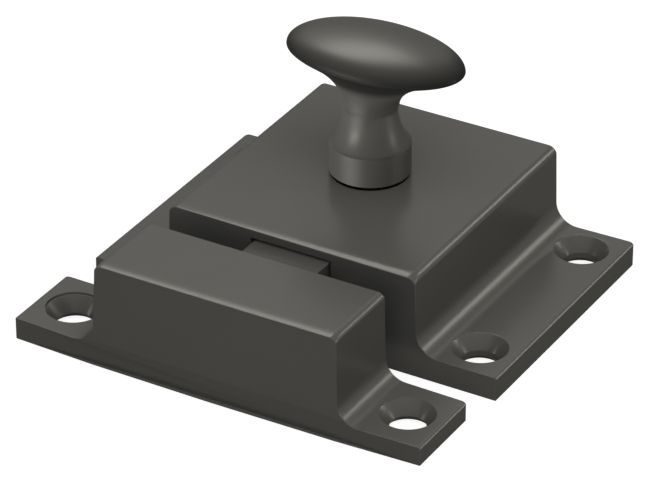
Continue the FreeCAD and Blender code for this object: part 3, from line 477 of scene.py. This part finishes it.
def buildLatchCase():
    # The shell less the room for the works, the cover plate's recess, the relief under the front
    # wall, the bolt's slot, the bush hole, the spring's seat, the screw holes and the countersinks
    s, inside = latchCase, caseInside
    piece = castShell("latchCase", s)
    wall = inside["cavityFront"]
    ahead = s["front"] - cutPast
    room = roundedBox(inside["cavityHalf"], wall, inside["cavityBack"], inside["cavityCorner"])
    recess = rectangle(-inside["recessHalf"], inside["recessHalf"], wall, inside["recessBack"])
    reliefLow = inside["reliefHalf"] + inside["reliefSlope"] * cutPast
    relief = [(-reliefLow, -cutPast), (reliefLow, -cutPast),
              (inside["reliefTopHalf"], inside["reliefHeight"]),
              (-inside["reliefTopHalf"], inside["reliefHeight"])]
    slot = rectangle(-inside["slotHalf"], inside["slotHalf"],
                     inside["slotFloor"], inside["slotTop"])
    bushHole = [(inside["bushRadius"], inside["cavityTop"] - cutPast),
                (inside["bushRadius"], s["height"] + cutPast)]
    seat = [(inside["seatRadius"], -inside["seatDepth"]), (inside["seatRadius"], 0.0)]
    screwHole = [(inside["screwHole"], -cutPast), (inside["screwHole"], inside["screwHoleDepth"])]
    cutters = [
        prism("cavity", room, -cutPast, inside["cavityTop"], "z"),
        prism("recess", recess, -cutPast, inside["recessDepth"], "z"),
        prism("relief", relief, ahead, wall + 0.01, "y"),
        prism("slot", slot, ahead, wall + 0.01, "y"),
        spun("bushHole", bushHole, (0.0, inside["axisY"], 0.0)),
        spun("springSeat", seat, (0.0, inside["seatY"], inside["seatZ"]), axis="y"),
    ]
    cutters += [spun("screwHole", screwHole, (side * inside["screwHoleX"], row, 0.0), sides=32)
                for side in (-1, 1) for row in inside["screwHoleY"]]
    carve(piece, cutters + flangeHoles(s))
    finishEdges(piece)
    dress(piece, "bronzeFinish", "bronze_finish", "case", "latch_case")


strikeInside = {"halfX": 13.9, "front": -33.625, "back": -26.325, "top": 12.83, "mouthHalf": 6.9}


def buildStrike():
    # The shell less its hollow, the mouth for the tongue and the countersinks
    s, inside = strikePlate, strikeInside
    piece = castShell("strikePlate", s)
    middle, half, mouthHalf = s["centreX"], inside["halfX"], inside["mouthHalf"]
    hollow = rectangle(middle - half, middle + half, inside["front"], inside["back"])
    mouth = rectangle(middle - mouthHalf, middle + mouthHalf, -cutPast, inside["top"])
    cutters = [prism("hollow", hollow, -cutPast, inside["top"], "z"),
               prism("mouth", mouth, inside["back"] - 0.01, s["back"] + cutPast, "y")]
    carve(piece, cutters + flangeHoles(s))
    finishEdges(piece)
    dress(piece, "bronzeFinish", "bronze_finish", "case", "strike")


buildLatchCase()
print("case made")
buildStrike()
print("strike made")

# Turn knob: rings of ellipses, round at the base and neck, oval at the head

turnKnob = {
    "axisY": 0.975, "bottom": 14.57, "baseRadius": 5.2, "baseEdge": 0.08,
    "crease": 18.55, "creaseLedge": 0.1, "creaseTurn": 1.2,
    "neckRadius": 3.6, "neck": 23.55, "rim": 30.55, "halfLength": 12.1, "halfWidth": 7.1,
    "dome": 3.35, "neckPull": 4.9, "rimPull": 0.45, "headShift": 0.65,
    "socketRadius": 2.02, "socketDepth": 8.0, "around": 160, "sharpAngle": 38.0,
}


def knobProfile(s):
    # Rows of half length, half width and height, from the socket's end round the outside to the
    # pole: an upright base, a flare on one circle up to the neck, a cubic Bezier from the neck out
    # to the rim, and a quarter of an ellipse over the dome
    drop = s["baseRadius"] - s["neckRadius"]
    rise = s["neck"] - s["crease"]
    flare = (drop ** 2 + rise ** 2) / (2 * drop)
    start = 180 + math.degrees(math.asin(rise / flare)) - s["creaseTurn"]
    low = s["bottom"]
    edge = s["baseEdge"]
    turned = np.concatenate([
        [(0.0001, low + s["socketDepth"]), (s["socketRadius"], low + s["socketDepth"]),
         (s["socketRadius"], low)],
        arc((s["baseRadius"] - edge, low + edge), edge, -90, 0, 6),
        np.stack([np.full(5, s["baseRadius"]),
                  np.linspace(low + edge + 0.2, s["crease"], 5)], axis=1),
        arc((s["neckRadius"] + flare, s["neck"]), flare, start, 180, 24) - (s["creaseLedge"], 0.0),
    ])
    turned = np.column_stack([turned[:, 0], turned[:, 0], turned[:, 1]])

    share = np.linspace(0, 1, 41)[1:]
    headRise = s["rim"] - s["neck"]
    spread = 3 * (1 - share) * share ** 2 + share ** 3
    height = (s["neck"] + s["neckPull"] * 3 * (1 - share) ** 2 * share
              + (headRise - s["rimPull"]) * 3 * (1 - share) * share ** 2 + headRise * share ** 3)
    under = np.column_stack([s["neckRadius"] + (s["halfLength"] - s["neckRadius"]) * spread,
                             s["neckRadius"] + (s["halfWidth"] - s["neckRadius"]) * spread, height])
    climb = np.radians(np.linspace(0, 90, 33)[1:])
    small = np.maximum(np.cos(climb), 0.0005)
    dome = np.column_stack([s["halfLength"] * small, s["halfWidth"] * small,
                            s["rim"] + s["dome"] * np.sin(climb)])
    return np.concatenate([turned, under, dome])


def buildKnob():
    # Each ring is half length times cosine and half width times sine of the angle round the axis;
    # the rings move a little along the head's length from the neck up to the rim
    s = turnKnob
    rows = knobProfile(s)
    angle = np.linspace(0, 2 * math.pi, s["around"], endpoint=False)
    rise = np.clip((rows[:, 2:] - s["neck"]) / (s["rim"] - s["neck"]), 0.0, 1.0)
    rise[:3] = 0.0  # the socket stays on the axis
    x = rows[:, :1] * np.cos(angle) + s["headShift"] * rise ** 2 * (3 - 2 * rise)
    y = rows[:, 1:2] * np.sin(angle) + s["axisY"]
    z = np.repeat(rows[:, 2:], s["around"], axis=1)
    piece = newPiece("turnKnob", *skin(np.stack([x, y, z], axis=-1)))
    piece.data.set_sharp_from_angle(angle=math.radians(s["sharpAngle"]))
    dress(piece, "knobFinish", "bronze_finish", "knob", "oval_knob")


buildKnob()
print("knob made")

# Spring bolt: the tongue with its bevelled nose and the frame round the cam

springBolt = {
    "tongueHalf": 5.35, "nose": -28.125, "shoulder": -16.575, "tailHalf": 13.4, "barBack": 7.175,
    "bottom": 6.48, "top": 12.48, "noseLand": 1.3, "noseCutHalf": 8.0,
    "windowHalf": 10.42, "windowFront": -13.99, "barFront": 4.575, "tailCorner": 1.5,
    "edgeRound": 0.22, "pinRadius": 1.52, "pinDepth": 1.8,
}


def buildBolt():
    # A flat plan with rounded tail corners, carried up to its thickness, less the window for the
    # cam, a wedge of 45 degrees under the nose and the hole of the spring's guide pin
    s = springBolt
    tail = s["tailHalf"]
    corner = s["tailCorner"]
    halfPlan = np.concatenate([
        [(s["tongueHalf"], s["nose"]), (s["tongueHalf"], s["shoulder"])],
        arc((tail - corner, s["shoulder"] + corner), corner, -90, 0, 6),
        arc((tail - corner, s["barBack"] - corner), corner, 0, 90, 6),
    ])
    plan = np.concatenate([halfPlan, halfPlan[::-1] * (-1, 1)])
    piece = prism("springBolt", plan, s["bottom"], s["top"], "z")
    window = rectangle(-s["windowHalf"], s["windowHalf"], s["windowFront"], s["barFront"])
    run = s["top"] - s["bottom"] - s["noseLand"]
    ahead, under = s["nose"] - cutPast, s["bottom"] - cutPast
    wedge = np.array([(ahead, under), (s["nose"] + run + cutPast, under),
                      (ahead, s["top"] - s["noseLand"] + cutPast)])
    sides = [np.column_stack([np.full(3, side * s["noseCutHalf"]), wedge]) for side in (-1, 1)]
    pinHole = [(s["pinRadius"], -s["pinDepth"]), (s["pinRadius"], cutPast)]
    carve(piece, [prism("window", window, s["bottom"] - cutPast, s["top"] + cutPast, "z"),
                  newPiece("bevel", *skin(np.stack(sides)), smooth=False),
                  spun("pinHole", pinHole, (0.0, s["barBack"], (s["top"] + s["bottom"]) / 2),
                       sides=48, axis="y")])
    softEdges = piece.modifiers.new("softEdges", "BEVEL")
    softEdges.width = s["edgeRound"] * mm
    softEdges.segments = 3
    softEdges.limit_method = "ANGLE"
    softEdges.angle_limit = math.radians(35)
    finishEdges(piece)
    dress(piece, "boltFinish", "bronze_finish", "bolt", "bolt")


buildBolt()
print("bolt made")

# Bolt spring: a coil along Y between the bolt and the spring's seat

boltSpring = {
    "radius": 2.25, "wire": 0.45, "turns": 5.0, "start": 7.42, "length": 8.71, "height": 9.48,
    "ease": 0.1, "seat": 16.375, "closed": 0.428,
}


def buildSpring():
    # A coil along Y: the radius times cosine and sine of the turn, with a smaller pitch towards
    # both ends; round it, half the wire times cosine outwards and sine along Y
    s = boltSpring
    share = np.linspace(0, 1, 181)
    turn = 2 * math.pi * s["turns"] * share
    outward = np.stack([np.cos(turn), np.zeros_like(turn), np.sin(turn)], axis=1)
    line = s["radius"] * outward + (0.0, s["start"], s["height"])
    line[:, 1] += s["length"] * (share - s["ease"] * np.sin(2 * math.pi * share))
    around = np.linspace(0, 2 * math.pi, 12, endpoint=False)[None, :, None]
    wall = np.cos(around) * outward[:, None] + np.sin(around) * np.array([0.0, 1.0, 0.0])
    piece = newPiece("coilSpring", *skin(line[:, None] + s["wire"] / 2 * wall))
    dress(piece, "springSteel", "spring_steel", "case", "bolt_spring")
    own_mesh(piece)


buildSpring()
print("spring made")

# The works keep their CAD shapes and get their own finishes

worksFinish = {
    "blackFibre": ["knob_washer"],
    "darkSteel": ["cover_plate", "cover_screw_1", "cover_screw_2", "cover_screw_3",
                  "cover_screw_4"],
    "plainBrass": ["spindle_bush", "pivot_bush"],
    "brightSteel": ["spindle", "thrust_washer", "cam_washer", "retaining_clip", "cam",
                    "spring_guide"],
}


def finishWorks():
    # Fills every material slot of a CAD node with its finish
    for finish, names in worksFinish.items():
        for name in names:
            node = bpy.data.objects[name]
            if not node.data.materials:
                node.data.materials.append(None)
            for index in range(len(node.data.materials)):
                node.data.materials[index] = finishOf[finish]


finishWorks()
print("works finished")

# Studio: a white floor and world, which metal sees too, and large soft lamps. Azimuth 0 is over
# the back and 90 to the right. A lamp with "on" lights the castings or the knob alone; one with
# "diffuse" off is only seen as a reflection, and one with "glossy" off is never seen as one.

studioLight = {
    "floorTone": 0.5, "floorGlow": 0.9, "floorHalf": 3000.0, "floorDrop": 0.02,
    "worldGlow": 1.0, "worldFill": 0.4,
    "lamps": {
        "keyLeft": {"azimuth": 305, "elevation": 62, "distance": 450, "size": (280, 180),
                    "watts": 1.6, "diffuse": False},
        "backPanel": {"azimuth": 320, "elevation": 30, "distance": 420, "size": (560, 440),
                      "watts": 1.35, "diffuse": False},
        "topFill": {"azimuth": 135, "elevation": 66, "distance": 280, "size": (260, 260),
                    "watts": 0.67, "glossy": False, "on": "castings"},
        "rightFill": {"azimuth": 75, "elevation": 15, "distance": 450, "size": (300, 300),
                      "watts": 0.24, "glossy": False},
        "frontFill": {"azimuth": 168, "elevation": 10, "distance": 450, "size": (300, 300),
                      "watts": 0.4, "glossy": False, "on": "castings"},
        "leftFill": {"azimuth": 285, "elevation": 15, "distance": 450, "size": (300, 300),
                     "watts": 0.3, "glossy": False, "on": "castings"},
        "edgeStrip": {"azimuth": 33, "elevation": 26, "distance": 450, "size": (150, 80),
                      "watts": 0.55, "diffuse": False, "on": "castings"},
        "sinkLeft": {"azimuth": 237, "elevation": 18, "distance": 450, "size": (90, 90),
                     "watts": 0.28, "diffuse": False, "on": "castings"},
        "sinkRight": {"azimuth": 63, "elevation": 18, "distance": 450, "size": (90, 90),
                      "watts": 0.28, "diffuse": False, "on": "castings"},
        "stemLeft": {"azimuth": 208, "elevation": -20, "distance": 450, "size": (230, 560),
                     "watts": 4.2, "on": "knob"},
        "stemRight": {"azimuth": 73, "elevation": -8, "distance": 450, "size": (90, 400),
                      "watts": 0.7, "on": "knob"},
    },
}


def whiteShare(nodes, links):
    # 1 for rays that come from the camera, a glossy surface or glass, so that they see the same
    # white: the largest of the three ray flags
    path = nodes.new("ShaderNodeLightPath")
    share = path.outputs["Is Camera Ray"]
    for ray in ("Is Glossy Ray", "Is Transmission Ray"):
        largest = nodes.new("ShaderNodeMath")
        largest.operation = "MAXIMUM"
        links.new(share, largest.inputs[0])
        links.new(path.outputs[ray], largest.inputs[1])
        share = largest.outputs[0]
    return share


def buildFloor(settings):
    # A pale matt square just under the lock, which glows for the rays of whiteShare
    half = settings["floorHalf"]
    corners = [(x, y, -settings["floorDrop"]) for x, y in rectangle(-half, half, -half, half)]
    floor = newPiece("floor", corners, [(0, 1, 2, 3)], smooth=False)
    material = bpy.data.materials.new("floorPaint")
    material.use_nodes = True
    nodes = material.node_tree.nodes
    links = material.node_tree.links
    paint = nodes["Principled BSDF"]
    paint.inputs["Base Color"].default_value = greyOf(settings["floorTone"])
    paint.inputs["Roughness"].default_value = 1.0
    paint.inputs["Specular IOR Level"].default_value = 0.0
    paint.inputs["Emission Color"].default_value = greyOf(1.0)
    glow = nodes.new("ShaderNodeMath")
    glow.operation = "MULTIPLY"
    glow.inputs[1].default_value = settings["floorGlow"]
    links.new(whiteShare(nodes, links), glow.inputs[0])
    links.new(glow.outputs[0], paint.inputs["Emission Strength"])
    floor.data.materials.append(material)


def lightWorld(settings):
    # White at full strength for the rays of whiteShare, and a weaker fill for plain light
    world = bpy.data.worlds.new("whiteRoom")
    world.use_nodes = True
    nodes = world.node_tree.nodes
    links = world.node_tree.links
    glow = nodes["Background"]
    glow.inputs["Color"].default_value = greyOf(1.0)
    strength = nodes.new("ShaderNodeMapRange")
    strength.inputs["To Min"].default_value = settings["worldFill"]
    strength.inputs["To Max"].default_value = settings["worldGlow"]
    links.new(whiteShare(nodes, links), strength.inputs["Value"])
    links.new(strength.outputs["Result"], glow.inputs["Strength"])
    studio.world = world


def gatherParts():
    # The knob in one collection and every other piece in another. The floor is made later and is
    # in neither, so the lamps that light only one of them leave it alone.
    parts = {name: bpy.data.collections.new(name) for name in ("knob", "castings")}
    for item in studio.collection.all_objects:
        if item.type == "MESH":
            parts["knob" if item.name == "turnKnob" else "castings"].objects.link(item)
    return parts


def hangLamp(name, settings, parts):
    # A soft panel turned to the lock: its direction is sine and cosine of the azimuth times cosine
    # of the elevation, and up by sine of the elevation. Panels that are only reflected, or that
    # light the knob alone, throw no shadow.
    data = bpy.data.lights.new(name, "AREA")
    data.shape = "RECTANGLE"
    data.size, data.size_y = (length * mm for length in settings["size"])
    data.energy = settings["watts"]
    data.use_shadow = settings.get("diffuse", True) and settings.get("on") != "knob"
    lamp = bpy.data.objects.new(name, data)
    turn = math.radians(settings["azimuth"])
    climb = math.radians(settings["elevation"])
    level = math.cos(climb)
    toward = Vector((math.sin(turn) * level, math.cos(turn) * level, math.sin(climb)))
    lamp.location = toward * settings["distance"] * mm
    lamp.rotation_euler = (-toward).to_track_quat("-Z", "Y").to_euler()
    lamp.visible_camera = False
    lamp.visible_diffuse = settings.get("diffuse", True)
    lamp.visible_glossy = settings.get("glossy", True)
    studio.collection.objects.link(lamp)
    if "on" in settings:
        lamp.light_linking.receiver_collection = parts[settings["on"]]


litParts = gatherParts()
buildFloor(studioLight)
lightWorld(studioLight)
for lampName, lampSettings in studioLight["lamps"].items():
    hangLamp(lampName, lampSettings, litParts)
studio.view_settings.view_transform = "Standard"
print("studio lit")
